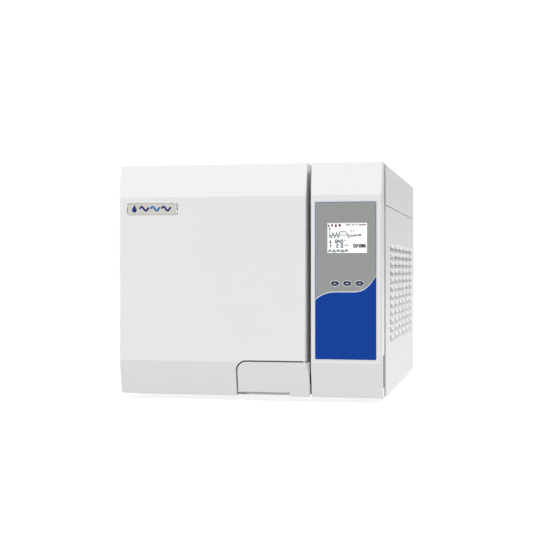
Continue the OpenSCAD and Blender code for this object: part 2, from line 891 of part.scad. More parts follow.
module handle() {
    back_y = y_front + handle_t + 5;
    notch_x1 = grip_x - 27;
    edge_r = 2;
    color("whitesmoke")
    difference() {
        intersection() {
            plate_xz(y_front - eps, y_front + handle_end + handle_t) handle_view(0, handle_x1, z_low);
            bar_yz(handle_x0, handle_x1) front_side_view(0, y_front + handle_t);
            translate([0, 0, z_low]) linear_extrude(low_band) {
                round_rect([handle_x0, y_front], [grip_x, y_front + handle_t + 2 * edge_r], edge_r);
                translate([grip_x - 10, y_front]) square([10, handle_t]);
                translate([grip_x, grip_y]) circle(handle_end);
            }
        }
        // hollow behind the grip, open at the back and the bottom
        bar_yz(handle_x0 + handle_wall, grip_x - 14) polygon([
            [y_front + low_lean + handle_wall, z_low - eps],
            [y_front + handle_wall, crease_lo - 8],
            [y_front + handle_wall, crease_lo - handle_wall],
            [back_y, crease_lo - handle_wall],
            [back_y, z_low - eps]
        ]);
        // finger notch in the lower edge
        box([handle_x0 - eps, y_front - eps, z_low - eps], [notch_x1, y_front + 40, z_low + notch_h]);
        translate([grip_x, grip_y, grip_pin_z0]) cylinder(r = grip_pin_r + play, h = 40);
        // seat of the latch tongue
        box([grip_x - tongue_t / 2, grip_y + 4, tongue_z0], [grip_x + tongue_t / 2, grip_y + 20, tongue_z1]);
    }
}

module handle_pin() {
    z0 = grip_pin_z0 + 0.5;
    color("silver")
    translate([grip_x, grip_y, z0]) cylinder(r = grip_pin_r, h = grip_pin_z1 - z0);
}

module latch_tongue() {
    color("silver")
    box([grip_x - tongue_t / 2, grip_y + 4, tongue_z0], [grip_x + tongue_t / 2, tongue_y, tongue_z1]);
}

// a pressed steel shoe that the tongue enters, open at the front, with the door switch behind it
module latch_keeper() {
    plate = 2;
    gap = 2;
    shoe = 24;
    y0 = y_case + 2 * sheet;
    y1 = y0 + shoe;
    x0 = grip_x - keeper_left;
    x1 = grip_x + keeper_right;
    color("dimgray") {
        box([x0, y0, tongue_z1 + gap], [x1, y1, tongue_z1 + gap + plate]);
        box([x0, y0, tongue_z0 - gap - plate], [x1, y1, tongue_z0 - gap]);
        box([x0, y1 - plate, tongue_z0 - gap - 0.1], [x1, y1, tongue_z1 + gap + 0.1]);
        box([grip_x - 6, y1, tongue_z0 - gap], [grip_x + 6, y1 + 16, tongue_z1 + gap]);
    }
}

// ---------- water tank ----------

module tank_shelf() {
    front = -120;
    back = rear_y - 30;
    side_h = 22;
    color("gainsboro") {
        difference() {
            box([-x_fit, front, shelf_z], [x_fit, back, shelf_z + sheet]);
            // room for the boards and the valves on the right
            box([100, -90, shelf_z - eps], [210, 200, shelf_z + sheet + eps]);
        }
        for (x = [-x_fit, x_fit - sheet]) box([x, front, shelf_z - side_h], [x + sheet, back, shelf_z]);
    }
}

// a moulded tank with a dividing wall between clean and used water
module water_tank() {
    z0 = shelf_z + sheet;
    divide_x = -5;
    corner_r = 12;
    color("lightblue")
    difference() {
        translate([0, 0, z0]) linear_extrude(tank_z1 - z0)
            round_rect([tank_x0, tank_y0], [tank_x1, tank_y1], corner_r);
        box([tank_x0 + tank_wall, tank_y0 + tank_wall, z0 + tank_wall],
            [divide_x, tank_y1 - tank_wall, tank_z1 - tank_wall]);
        box([divide_x + tank_wall, tank_y0 + tank_wall, z0 + tank_wall],
            [tank_x1 - tank_wall, tank_y1 - tank_wall, tank_z1 - tank_wall]);
        box([neck_x0, neck_y0, tank_z1 - 5], [neck_x1, neck_y1, tank_z1 + eps]);
    }
}

module filler_frame() {
    border = 10;
    border_r = 8;
    z0 = tank_z1;
    z1 = z_high - sheet;
    floor_z = z_high - 5.5;
    color("gainsboro")
    difference() {
        translate([0, 0, z0]) linear_extrude(z1 - z0)
            round_rect([fill_x0 - border, fill_y0 - border], [fill_x1 + border, fill_y1 + border], border_r);
        difference() {
            box([fill_x0, fill_y0, floor_z], [fill_x1, fill_y1, z1 + eps]);
            // rim that the lid rests on
            translate([0, 0, floor_z - eps]) linear_extrude(z_high - lid_t - 0.1 - floor_z + eps)
                round_rect([neck_x0 - 2, neck_y0 - 2], [neck_x1 + 2, neck_y1 + 2], 4);
        }
        box([fill_x0, fill_y1 - 20, z_high - 12], [fill_x1, fill_y1, z1 + eps]);
        box([neck_x0, neck_y0, z0 - eps], [neck_x1, neck_y1, z1 + eps]);
        translate([fill_x0 - 5, lid_y, lid_z]) rotate([0, 90, 0])
            cylinder(r = lid_pin_r + play, h = fill_x1 - fill_x0 + 10);
    }
}

module tank_lid() {
    x0 = fill_x0 + 1;
    x1 = fill_x1 - 1;
    corner_r = 5;
    grip_r = 9;
    eye_r = 3;
    eye_t = 4;
    pin_len = 6;
    color("gainsboro") {
        difference() {
            translate([0, 0, z_high - lid_t]) linear_extrude(lid_t)
                round_rect([x0, fill_y0 + 1], [x1, lid_y + 5], corner_r);
            translate([(x0 + x1) / 2, fill_y0 + 1, z_high - 10]) cylinder(r = grip_r, h = 20);
        }
        for (x = [x0, x1 - eye_t]) {
            translate([x, lid_y, lid_z]) rotate([0, 90, 0]) cylinder(r = eye_r, h = eye_t);
            box([x, lid_y - eye_r, lid_z], [x + eye_t, lid_y + eye_r, z_high - lid_t + 0.1]);
        }
        for (x = [x0 - pin_len + 0.5, x1 - 0.5])
            translate([x, lid_y, lid_z]) rotate([0, 90, 0]) cylinder(r = lid_pin_r, h = pin_len);
    }
}

// ---------- machinery ----------

module vacuum_pump() {
    pump_x = 150;
    axis_z = 78;
    head_y = 201;
    color("slategray") {
        // motor, its end bells, the pump head with two cylinders and hose tails, and the foot
        along_y([pump_x, 66, axis_z]) cylinder(r = 40, h = 110);
        along_y([pump_x, 60, axis_z]) cylinder(r = 34, h = 122);
        box([pump_x - 38, head_y - 25, 36], [pump_x + 38, head_y + 25, 128]);
        for (side = [-1, 1]) translate([pump_x + side * 19, head_y, 128]) {
            cylinder(r = 16, h = 14);
            cylinder(r = 5, h = 28);
        }
        box([pump_x - 32, 80, pump_seat_z], [pump_x + 32, 170, 40]);
    }
}

module pump_mounts() {
    mount_r = 8;
    color("black")
    for (x = [126, 174], y = [90, 160])
        translate([x, y, z_low + sheet]) cylinder(r = mount_r, h = pump_seat_z - z_low - sheet);
}

module water_pump() {
    pump_x = 133;
    port_r = 5;
    color("steelblue") {
        box([pump_x - 25, -30, z_low + sheet], [pump_x + 25, 30, 20]);
        along_y([pump_x, -26, 46]) cylinder(r = 24, h = 52);
        for (y = [-10, 14]) translate([pump_x, y, 68]) cylinder(r = port_r, h = 16);
    }
}

module steam_generator() {
    body_r = 36;
    body_h = 170;
    flange = 46;
    bolt_circle = 41;
    lid_top = body_h - 0.1;
    // body, flanges, lid bolts and the two connections on the lid
    color("darkgray")
    translate([150, -130, z_low + sheet]) {
        cylinder(r = body_r, h = body_h);
        translate([0, 0, 12]) cylinder(r = flange, h = 6);
        translate([0, 0, body_h - 12]) cylinder(r = flange, h = 12);
        for (a = [0 : 45 : 315]) rotate([0, 0, a])
            translate([bolt_circle, 0, lid_top]) cylinder(r = 4, h = 5, $fn = 6);
        for (x = [-14, 14]) translate([x, 0, lid_top]) cylinder(r = 5, h = 18);
    }
}

module solenoid_valves() {
    valve_pitch = 28;
    block_top = 264;
    coil = 22;
    color("goldenrod") {
        box([92, -70, block_top - 24], [118, 70, block_top]);
        for (i = [-2 : 2]) translate([105, i * valve_pitch, block_top]) {
            box([-coil / 2, -coil / 2, 0], [coil / 2, coil / 2, 26]);
            cylinder(r = 6, h = 34);
        }
    }
}

// a stack of flat fins between two end plates, with three tubes through it
module condenser() {
    fins_z = 180;
    plate_z0 = 176;
    plate_z1 = 294;
    tube_r = 5;
    half_w = 58;
    depth = 30;
    fins = 12;
    fin_pitch = 10;
    fin_t = 1;
    end_t = 3;
    y1 = fan_y - 2;
    y0 = y1 - depth;
    color("lightgray") {
        for (i = [0 : fins - 1])
            translate([fan_x, 0, fins_z + i * fin_pitch]) box([-half_w, y0, 0], [half_w, y1, fin_t]);
        for (x = [fan_x - half_w, fan_x + half_w - end_t]) box([x, y0, plate_z0], [x + end_t, y1, plate_z1]);
        for (x = [fan_x - 30, fan_x, fan_x + 30])
            translate([x, (y0 + y1) / 2, plate_z0 + 1]) cylinder(r = tube_r, h = plate_z1 - plate_z0 - 2);
    }
}

module fan_frame() {
    half = fan_size / 2;
    hub_r = 20;
    strut = 6;
    color("dimgray")
    difference() {
        plate_xz(fan_y, fan_y + fan_depth)
            round_rect([fan_x - half, fan_z - half], [fan_x + half, fan_z + half], 5);
        // the air way, with the hub and four struts left standing in it
        difference() {
            along_y([fan_x, fan_y - eps, fan_z]) cylinder(r = fan_bore, h = fan_depth + 2 * eps);
            along_y([fan_x, fan_y, fan_z]) cylinder(r = hub_r, h = 4);
            box([fan_x - half, fan_y, fan_z - strut / 2], [fan_x + half, fan_y + 3, fan_z + strut / 2]);
            box([fan_x - strut / 2, fan_y, fan_z - half], [fan_x + strut / 2, fan_y + 3, fan_z + half]);
        }
        along_y([fan_x, fan_y - eps, fan_z]) cylinder(r = shaft_r + play, h = 10);
    }
}

module fan_rotor() {
    blades = 7;
    pitch = 38;
    blade = [34, 22, 1.6];
    color("black")
    along_y([fan_x, fan_y, fan_z]) {
        translate([0, 0, 5]) cylinder(r = 21, h = 17);
        translate([0, 0, 0.5]) cylinder(r = shaft_r, h = 6);
        for (a = [0 : 360 / blades : 359]) rotate([0, 0, a]) translate([36, 0, 13.5]) rotate([pitch, 0, 0])
            cube(blade, center = true);
    }
}

module fan_guard() {
    wire_r = 1.2;
    screw_circle = 74;
    color("silver")
    along_y([fan_x, rear_y, fan_z]) {
        for (r = [14 : 14 : 56]) rotate_extrude() translate([r, 3.2]) circle(wire_r);
        for (a = [45 : 90 : 315]) rotate([0, 0, a]) {
            translate([12, 0, 1.6]) rotate([0, 90, 0]) cylinder(r = wire_r, h = screw_circle - 12);
            translate([screw_circle, 0, 0]) cylinder(r = 4, h = 2.8);
        }
    }
}

module safety_valve() {
    reach = 60;
    color("goldenrod")
    along_y([valve_x, rear_y - reach, valve_z]) {
        cylinder(r = 9, h = reach);
        translate([0, 0, 6]) cylinder(r = 14, h = 12, $fn = 6);
        translate([0, 0, reach]) cylinder(r = 12, h = 8);
        translate([0, 0, reach + 8]) cylinder(r = 5, h = 6);
    }
}

module power_inlet() {
    body = [13.5, 9.5];
    flange = [25, 12];
    opening = [11.5, 7.5];
    corner_r = 3;
    depth = 22;
    mouth = 14;
    color("black")
    difference() {
        union() {
            box([inlet_x - body.x, rear_y - depth, socket_z - body.y],
                [inlet_x + body.x, rear_y + 0.5, socket_z + body.y]);
            plate_xz(rear_y, rear_y + 3)
                round_rect([inlet_x - flange.x, socket_z - flange.y],
                    [inlet_x + flange.x, socket_z + flange.y], corner_r);
        }
        box([inlet_x - opening.x, rear_y - mouth, socket_z - opening.y],
            [inlet_x + opening.x, rear_y + 5, socket_z + opening.y]);
    }
    // three contact pins
    color("silver")
    for (p = [[-7, -2], [0, 2], [7, -2]])
        box([inlet_x + p.x - 1, rear_y - mouth - 0.1, socket_z + p.y - 2],
            [inlet_x + p.x + 1, rear_y - 1, socket_z + p.y + 2]);
}

module switch_body() {
    body = [10.5, 14.5];
    flange = [13, 17];
    opening = [8.5, 12.8];
    corner_r = 2;
    color("black")
    difference() {
        union() {
            box([switch_x - body.x, rear_y - 26, socket_z - body.y],
                [switch_x + body.x, rear_y + 0.5, socket_z + body.y]);
            plate_xz(rear_y, rear_y + 2)
                round_rect([switch_x - flange.x, socket_z - flange.y],
                    [switch_x + flange.x, socket_z + flange.y], corner_r);
        }
        box([switch_x - opening.x, rear_y - 10, socket_z - opening.y],
            [switch_x + opening.x, rear_y + 5, socket_z + opening.y]);
        translate([switch_x - 9.5, rear_y - 2, socket_z]) rotate([0, 90, 0])
            cylinder(r = rocker_pin_r + play, h = 19);
    }
}

module switch_rocker() {
    half_w = 8.2;
    half_h = 11.8;
    pin_len = 18.4;
    color("firebrick")
    translate([0, rear_y - 2, socket_z]) {
        bar_yz(switch_x - half_w, switch_x + half_w)
            polygon([[-3, -8], [1, -half_h], [3.2, -half_h], [2.4, 0], [3.2, half_h], [1, half_h], [-3, 8]]);
        translate([switch_x - pin_len / 2, 0, 0]) rotate([0, 90, 0]) cylinder(r = rocker_pin_r, h = pin_len);
    }
}

module fuse_holders() {
    body_len = 30;
    color("black")
    for (x = fuse_x) along_y([x, rear_y - body_len, socket_z]) {
        cylinder(r = fuse_r, h = body_len + 0.5);
        translate([0, 0, body_len]) cylinder(r = fuse_r + 2, h = 4);
        translate([0, 0, body_len + 4]) cylinder(r = 7, h = 4);
    }
}

module air_filter() {
    body_len = 32;
    color("white")
    along_y([filter_x, y_case - 3, filter_z]) {
        cylinder(r = filter_r, h = body_len);
        translate([0, 0, body_len]) cylinder(r = 6, h = 18);
        translate([0, 0, 3 + 2 * sheet]) cylinder(r = filter_r + 4.5, h = 3);
    }
}

module drain_couplings() {
    bore = 3.4;
    color("steelblue")
    for (x = coupling_x) along_y([x, y_case - 4, coupling_z]) {
        cylinder(r = coupling_r, h = 24);
        translate([0, 0, 5.5 + sheet]) cylinder(r = 9, h = 5);
        translate([0, 0, 24]) cylinder(r = 4, h = 14);
    }
    // rear spigot with its nut and bore
    color("goldenrod")
    along_y([drain_x, rear_y - 20, drain_z]) difference() {
        union() {
            cylinder(r = 6.9, h = 20.5);
            translate([0, 0, 20]) cylinder(r = 10, h = 4, $fn = 6);
            translate([0, 0, 23.5]) cylinder(r = spigot_r, h = 10.5);
        }
        translate([0, 0, -eps]) cylinder(r = bore, h = 40);
    }
}

module power_board() {
    face_x = 214;
    y0 = -250;
    y1 = -40;
    pin_len = 14;
    color("seagreen") {
        box([face_x, y0, 180], [face_x + board_t, y1, 330]);
        // four relays, a transformer, two capacitors and the pillars
        for (y = [-230 : 50 : -80]) box([face_x - 18, y, 200], [face_x, y + 30, 226]);
        box([face_x - 22, -220, 260], [face_x, -170, 310]);
        for (y = [-140, -100])
            translate([face_x - pin_len, y, 285]) rotate([0, 90, 0]) cylinder(r = 11, h = pin_len);
        for (y = [y0 + 6, y1 - 6], z = [186, 324])
            translate([face_x + 1.5, y, z]) rotate([0, 90, 0]) cylinder(r = 3, h = pin_len);
    }
}

// one straight run of pipe from the point p along axis 0, 1 or 2
module pipe_run(p, length, axis) {
    turn = [[0, 90, 0], [-90, 0, 0], [0, 0, 0]][axis];
    translate(p) rotate(turn) cylinder(r = pipe_r, h = length);
}

module pipework() {
    elbow_r = 4.2;
    stub = 12;
    run = 150;
    y0 = mouth_y + flange_t + bore_len + 78;
    color("chocolate") {
        // from the chamber's steam port to the condenser, and from its drain towards the vacuum pump
        for (side = [-1, 1]) {
            z = bore_z + side * port_z;
            pipe_run([bore_x, y0, z], stub, 1);
            translate([bore_x, y0 + stub, z]) sphere(elbow_r);
            pipe_run([bore_x, y0 + stub, z], run, 0);
        }
        // from the steam generator to the valves
        pipe_run([105, -80, 205], 35, 2);
        translate([105, -80, 205]) sphere(elbow_r);
        pipe_run([105, -80, 205], 30, 0);
    }
}

base_pan();
rubber_feet();
front_frame();
left_side_panel();
right_side_panel();
top_cover();
rear_panel();
control_fascia();
control_overlay();
lcd_module();
control_board();
key_left();
key_middle();
key_right();
chamber_vessel();
chamber_flange();
chamber_insulation();
heater_band();
vessel_cradles();
tray_rack();
tray_low();
tray_middle();
tray_high();
hinge_bracket();
hinge_pins();
door_cover();
door_inner_cover();
door_plate();
door_gasket();
door_arm();
door_plate_nut();
door_screws();
door_badge();
handle();
handle_pin();
latch_tongue();
latch_keeper();
water_tank();
tank_shelf();
filler_frame();
tank_lid();
vacuum_pump();
pump_mounts();
water_pump();
steam_generator();
solenoid_valves();
condenser();
fan_frame();
fan_rotor();
fan_guard();
safety_valve();
power_inlet();
switch_body();
switch_rocker();
fuse_holders();
air_filter();
drain_couplings();
power_board();
pipework();
casing_screws();
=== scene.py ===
import json
import math
import bmesh
import bpy
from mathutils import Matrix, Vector
from mathutils.bvhtree import BVHTree

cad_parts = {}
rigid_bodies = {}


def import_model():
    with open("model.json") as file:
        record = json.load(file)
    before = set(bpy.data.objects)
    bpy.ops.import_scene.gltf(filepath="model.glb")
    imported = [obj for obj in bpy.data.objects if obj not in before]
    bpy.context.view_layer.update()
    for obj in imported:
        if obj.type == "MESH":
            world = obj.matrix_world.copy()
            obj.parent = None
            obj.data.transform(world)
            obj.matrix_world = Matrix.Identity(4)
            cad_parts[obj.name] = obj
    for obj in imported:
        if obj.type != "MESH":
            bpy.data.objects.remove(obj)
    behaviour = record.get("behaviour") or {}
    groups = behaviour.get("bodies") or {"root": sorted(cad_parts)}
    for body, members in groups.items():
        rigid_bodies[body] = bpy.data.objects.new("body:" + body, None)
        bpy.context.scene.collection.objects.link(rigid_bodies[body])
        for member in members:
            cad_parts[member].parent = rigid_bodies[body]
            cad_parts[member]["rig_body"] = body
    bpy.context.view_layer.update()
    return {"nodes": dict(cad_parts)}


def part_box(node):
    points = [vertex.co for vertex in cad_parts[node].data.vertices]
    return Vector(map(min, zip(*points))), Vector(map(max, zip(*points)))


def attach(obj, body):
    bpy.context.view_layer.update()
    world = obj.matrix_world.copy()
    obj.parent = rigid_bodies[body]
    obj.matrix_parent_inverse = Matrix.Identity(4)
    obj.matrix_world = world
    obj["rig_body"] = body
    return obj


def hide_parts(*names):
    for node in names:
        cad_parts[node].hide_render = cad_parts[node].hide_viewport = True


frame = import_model()


# ---- Camera -------------------------------------------------------------------------------------
# A long lens a little to the right of the object and level with the middle of the door, so that
# the upright edges stay upright and the louvred right side just shows.

eye = bpy.data.cameras.new("camera")
eye.sensor_width = 36
eye.lens = 82.07
camera = bpy.data.objects.new("camera", eye)
bpy.context.scene.collection.objects.link(camera)
bpy.context.scene.camera = camera
door_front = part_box("door_cover")[0].y
camera.location = (0.460, door_front - 2.114, 0.235)
camera.rotation_euler = (math.radians(90.155), 0, math.radians(11.39))


# ---- Studio -------------------------------------------------------------------------------------
# A white paper sweep under a white sky. One broad light stands high in front, a low one fills from
# the left, and a small hard one rakes down the louvred side so that every hood throws its shadow.

MM = 0.001


def srgb(code):
    """The linear colour, with full alpha, of an sRGB hex value such as #e8e6e7."""
    parts = [int(code[i:i + 2], 16) / 255 for i in (1, 3, 5)]
    return (*(c / 12.92 if c <= 0.04045 else ((c + 0.055) / 1.055) ** 2.4 for c in parts), 1.0)


def add(tree, kind, settings=None, links=None):
    """Adds one shader node, sets its sockets or properties, and links its inputs."""
    made = tree.nodes.new("ShaderNode" + kind)
    for key, value in (settings or {}).items():
        if isinstance(key, int) or key in made.inputs:
            made.inputs[key].default_value = value
        else:
            setattr(made, key, value)
    for key, source in (links or {}).items():
        tree.links.new(source, made.inputs[key])
    return made


def start(name, colour, roughness, **constants):
    """A new material with its shader's own sockets set: material, tree, shader and object coordinates."""
    made = bpy.data.materials.new(name)
    made.use_nodes = True
    tree = made.node_tree
    shader = tree.nodes["Principled BSDF"]
    shader.inputs["Base Color"].default_value = srgb(colour)
    shader.inputs["Roughness"].default_value = roughness
    for key, value in constants.items():
        shader.inputs[key.replace("_", " ")].default_value = value
    return made, tree, shader, add(tree, "TexCoord").outputs["Object"]


def studio_paper():
    """Matt white paper, lit from behind so that it reads as pure white and shadows on it stay faint;
    clouds 1.4 m across keep it from being one flat fill."""
    made, tree, shader, place = start("studio_paper", "#d2d2d2", 0.9, Emission_Strength=0.7)
    shader.inputs["Emission Color"].default_value = srgb("#ffffff")
    cloud = add(tree, "TexNoise", {"Scale": 1 / (1400 * MM), "Detail": 2.0}, {"Vector": place})
    tone = add(tree, "MixRGB", {"Color1": srgb("#cfcfcf"), "Color2": srgb("#d5d5d5")},
               {"Fac": cloud.outputs["Fac"]})
    tree.links.new(tone.outputs["Color"], shader.inputs["Base Color"])
    return made


# The paper throws no light back up, which keeps the undersides of the louvre hoods dark.
floor_form = bmesh.new()
bmesh.ops.create_circle(floor_form, cap_ends=True, segments=96, radius=30)
floor_mesh = bpy.data.meshes.new("studio_floor")
floor_form.to_mesh(floor_mesh)
floor_form.free()
floor_mesh.materials.append(studio_paper())
floor = bpy.data.objects.new("studio_floor", floor_mesh)
floor.location.z = -0.4 * MM
floor.visible_diffuse = False
bpy.context.scene.collection.objects.link(floor)

# The sky is pure white to look at and a dimmer, even fill as a light.
sky = bpy.data.worlds.new("studio_sky")
sky.use_nodes = True
air = sky.node_tree
for spare in list(air.nodes):
    air.nodes.remove(spare)
soft_fill = add(air, "Background", {"Color": srgb("#ffffff"), "Strength": 0.40})
white_wall = add(air, "Background", {"Color": srgb("#ffffff"), "Strength": 1.05})
seen = add(air, "LightPath")
both = add(air, "MixShader", None, {0: seen.outputs["Is Camera Ray"], 1: soft_fill.outputs[0],
                                    2: white_wall.outputs[0]})
add(air, "OutputWorld", None, {"Surface": both.outputs[0]})
bpy.context.scene.world = sky
bpy.context.scene.view_settings.view_transform = "Standard"

# Name, strength, angular size in degrees and the way each light shines.
for name, watts, spread, aim in [("studio_key", 1.74, 40, (0.03, 0.6, -0.8)),
                                 ("studio_front", 1.38, 10, (0.64, 0.75, -0.14)),
                                 ("studio_side", 3.2, 8, (-0.45, -0.1, -0.89))]:
    lamp = bpy.data.lights.new(name, "SUN")
    lamp.energy = watts
    lamp.angle = math.radians(spread)
    holder = bpy.data.objects.new(name, lamp)
    holder.rotation_euler = Vector(aim).to_track_quat("-Z", "Y").to_euler()
    bpy.context.scene.collection.objects.link(holder)


# ---- Case ---------------------------------------------------------------------------------------
# Folded sheet steel, 1.5 mm thick, powder-coated off-white: a top cover with skirts and two side
# panels with pressed louvres. The pan, the front frame and the rear panel are plain coated sheet.

def shown(name, form, finish, body, stands_for=(), smooth=32):
    """Turns a finished form into a piece on its body, smooth except at edges sharper than smooth."""
    bmesh.ops.recalc_face_normals(form, faces=form.faces)
    limit = math.radians(smooth)
    for face in form.faces:
        face.smooth = True
    for edge in form.edges:
        edge.smooth = len(edge.link_faces) == 2 and edge.calc_face_angle(0) < limit
    mesh = bpy.data.meshes.new(name)
    form.to_mesh(mesh)
    form.free()
    mesh.materials.append(finish)
    piece = bpy.data.objects.new(name, mesh)
    bpy.context.scene.collection.objects.link(piece)
    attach(piece, body)
    if stands_for:
        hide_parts(*stands_for)
    return piece


def softened(node, finish, radius, steps=2, keen=28):
    """A sheet or a moulding as it leaves the tool: the CAD solid with its keen edges rounded."""
    form = bmesh.new()
    form.from_mesh(frame["nodes"][node].data)
    bmesh.ops.remove_doubles(form, verts=form.verts, dist=0.002 * MM)
    bmesh.ops.dissolve_limit(form, angle_limit=math.radians(0.6), verts=form.verts, edges=form.edges)
    skin = BVHTree.FromBMesh(form)
    broad = 150 * MM * MM
    sharp = [e for e in form.edges if len(e.link_faces) == 2
             and e.calc_face_angle(0) > math.radians(
                 7.5 if min(f.calc_area() for f in e.link_faces) > broad else keen)]
    bmesh.ops.bevel(form, geom=sharp, offset=radius * MM, segments=steps, profile=0.5,
                    affect="EDGES", clamp_overlap=False)
    for vert in form.verts:
        near, _, _, gap = skin.find_nearest(vert.co)
        if gap > 1.2 * radius * MM:     # a corner too tight for the radius would stray off the solid
            vert.co = near
    bmesh.ops.dissolve_degenerate(form, dist=0.001 * MM, edges=form.edges)
    body = frame["nodes"][node]["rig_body"]
    piece = shown(node + "_piece", form, finish, body, (node,))
    flat_first = piece.modifiers.new("flat_faces_first", "WEIGHTED_NORMAL")
    flat_first.keep_sharp = True
    return piece


def dressed(node, finish):
    """A CAD solid whose shape is right as it is: it only takes the real finish."""
    slots = frame["nodes"][node].data.materials
    slots.clear()
    slots.append(finish)


def powder_coat(name, colour):
    """Powder coat on steel: satin, with an orange peel 1.6 mm across that softens its highlights and
    clouds 200 mm across that keep a broad panel from looking like one flat fill."""
    made, tree, shader, place = start(name, colour, 0.46, IOR=1.5)
    peel = add(tree, "TexNoise", {"Scale": 1 / (1.6 * MM), "Detail": 2.0}, {"Vector": place})
    cloud = add(tree, "TexNoise", {"Scale": 1 / (200 * MM), "Detail": 3.0}, {"Vector": place})
    base = srgb(colour)
    tone = add(tree, "MixRGB",
               {"Color1": tuple(c * 0.975 for c in base[:3]) + (1,),
                "Color2": tuple(min(1, c * 1.015) for c in base[:3]) + (1,)},
               {"Fac": cloud.outputs["Fac"]})
    gloss = add(tree, "MapRange", {"To Min": 0.40, "To Max": 0.52}, {"Value": peel.outputs["Fac"]})
    relief = add(tree, "Bump", {"Strength": 0.16, "Distance": 0.06 * MM}, {"Height": peel.outputs["Fac"]})
    tree.links.new(tone.outputs["Color"], shader.inputs["Base Color"])
    tree.links.new(gloss.outputs["Result"], shader.inputs["Roughness"])
    tree.links.new(relief.outputs["Normal"], shader.inputs["Normal"])
    return made


case_coat = powder_coat("powder_coated_steel", "#d9d9dc")
frame_coat = powder_coat("coated_sheet_steel", "#cfcfcf")
softened("top_cover", case_coat, 0.35)
softened("left_side_panel", case_coat, 0.25, steps=1)
softened("right_side_panel", case_coat, 0.25, steps=1)
softened("rear_panel", frame_coat, 0.3)
softened("front_frame", frame_coat, 0.3)
softened("base_pan", frame_coat, 0.3)
dressed("tank_shelf", frame_coat)
dressed("vessel_cradles", frame_coat)


# ---- Feet ----------------------------------------------------------------------------------------
# Four moulded feet of black rubber, screwed up into the pan. The same rubber carries the vacuum
# pump inside.

def black_rubber():
    """Moulded rubber: near black and dull, with a dusty bloom in soft patches 17 mm across."""
    made, tree, shader, place = start("black_rubber", "#1b1b1c", 0.8)
    bloom = add(tree, "TexNoise", {"Scale": 1 / (17 * MM), "Detail": 4.0}, {"Vector": place})
    tone = add(tree, "MixRGB", {"Color1": srgb("#161617"), "Color2": srgb("#2a2a2b")},
               {"Fac": bloom.outputs["Fac"]})
    relief = add(tree, "Bump", {"Strength": 0.2, "Distance": 0.1 * MM},
                 {"Height": bloom.outputs["Fac"]})
    tree.links.new(tone.outputs["Color"], shader.inputs["Base Color"])
    tree.links.new(relief.outputs["Normal"], shader.inputs["Normal"])
    return made


rubber = black_rubber()
softened("rubber_feet", rubber, 1.0, steps=3)
dressed("pump_mounts", rubber)


# ---- Screws and pins -----------------------------------------------------------------------------
# Small zinc-plated screws, pins, nuts and the fan's wire guard, turned or drawn and left bright.

def bright_metal(name, colour, roughness):
    """Turned or drawn metal: bright, with fine scratches that break up its reflections. They are
    drawn 1.1 mm apart, coarser than the true 0.1 mm ones, which wouldn't show."""
    made, tree, shader, place = start(name, colour, roughness, Metallic=1.0)
    scratch = add(tree, "TexNoise", {"Scale": 1 / (1.1 * MM), "Detail": 3.0}, {"Vector": place})
    gloss = add(tree, "MapRange", {"To Min": roughness - 0.08, "To Max": roughness + 0.1},
                {"Value": scratch.outputs["Fac"]})
    relief = add(tree, "Bump", {"Strength": 0.08, "Distance": 0.04 * MM},
                 {"Height": scratch.outputs["Fac"]})
    tree.links.new(gloss.outputs["Result"], shader.inputs["Roughness"])
    tree.links.new(relief.outputs["Normal"], shader.inputs["Normal"])
    return made


zinc = bright_metal("zinc_plated_steel", "#bfc1c4", 0.3)
softened("casing_screws", zinc, 0.25)
softened("door_screws", zinc, 0.25)
softened("fan_guard", zinc, 0.2)
for node in ("hinge_pins", "handle_pin", "door_plate_nut"):
    softened(node, zinc, 0.4)
softened("latch_tongue", zinc, 0.5)


# ---- Chamber ------------------------------------------------------------------------------------
# A drawn stainless vessel with a machined mouth flange, wrapped in a heater band and glass wool.
# Inside stands a folded rack with three anodised instrument trays.

def brushed_metal(name, colour, along):
    """Brushed metal: streaks 80 mm long and 1.1 mm apart along one axis, so that highlights stretch
    across them. True brush marks are ten times finer and wouldn't show."""
    made, tree, shader, place = start(name, colour, 0.28, Metallic=1.0, Anisotropic=0.5)
    stretch = [1 / (1.1 * MM)] * 3
    stretch[along] = 1 / (80 * MM)
    laid = add(tree, "Mapping", {"Scale": stretch}, {"Vector": place})
    streak = add(tree, "TexNoise", {"Scale": 1.0, "Detail": 3.0}, {"Vector": laid.outputs["Vector"]})
    gloss = add(tree, "MapRange", {"To Min": 0.2, "To Max": 0.42}, {"Value": streak.outputs["Fac"]})
    relief = add(tree, "Bump", {"Strength": 0.12, "Distance": 0.05 * MM},
                 {"Height": streak.outputs["Fac"]})
    tree.links.new(gloss.outputs["Result"], shader.inputs["Roughness"])
    tree.links.new(relief.outputs["Normal"], shader.inputs["Normal"])
    return made


stainless = brushed_metal("brushed_stainless", "#c9c8c5", 1)
softened("chamber_vessel", stainless, 0.3)
softened("chamber_flange", bright_metal("machined_steel", "#c4c5c6", 0.34), 0.8)
softened("tray_rack", stainless, 0.25)
anodised = brushed_metal("anodised_aluminium", "#d3d6da", 0)
for node in ("tray_low", "tray_middle", "tray_high"):
    softened(node, anodised, 0.25)


def glass_wool():
    """Glass wool blanket: warm straw tufts 4 mm across, rough and fully matt."""
    made, tree, shader, place = start("glass_wool", "#cdbb83", 0.95)
    fibre = add(tree, "TexNoise", {"Scale": 1 / (4 * MM), "Detail": 6.0}, {"Vector": place})
    tone = add(tree, "MixRGB", {"Color1": srgb("#b8a56b"), "Color2": srgb("#e0d3a4")},
               {"Fac": fibre.outputs["Fac"]})
    relief = add(tree, "Bump", {"Strength": 0.6, "Distance": 1 * MM}, {"Height": fibre.outputs["Fac"]})
    tree.links.new(tone.outputs["Color"], shader.inputs["Base Color"])
    tree.links.new(relief.outputs["Normal"], shader.inputs["Normal"])
    return made


dressed("chamber_insulation", glass_wool())
dressed("heater_band", bright_metal("brass_band", "#b79a5b", 0.35))


